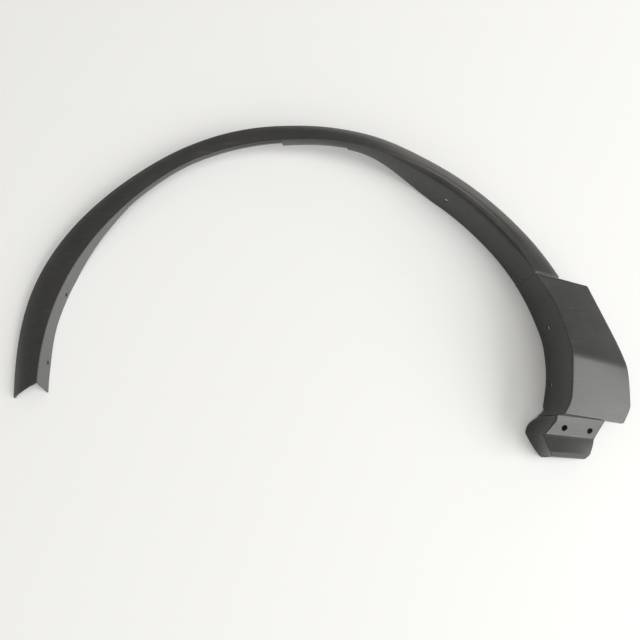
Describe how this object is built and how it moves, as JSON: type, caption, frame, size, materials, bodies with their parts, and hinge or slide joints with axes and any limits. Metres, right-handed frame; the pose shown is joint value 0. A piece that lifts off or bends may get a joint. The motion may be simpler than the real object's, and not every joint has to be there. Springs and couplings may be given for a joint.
{
  "type": "wheel arch trim",
  "caption": "Moulded plastic trim for a car's front wheel arch, with a curved band, a wheel side flange, a wide end panel and a screw tab.",
  "frame": {"origin": "middle of the trim's plan, on the plane that its wheel side edges lie on", "axes": "+X along the car towards the end panel, +Y up the car's side, +Z outwards from the car, which is up as the trim lies"},
  "size_m": [0.9726, 0.5676, 0.0781],
  "materials": {
    "trim_plastic": "fine grain, semi-matte"
  },
  "bodies": {
    "root": {"wheel_arch_trim": "trim_plastic"}
  },
  "joints": []
}
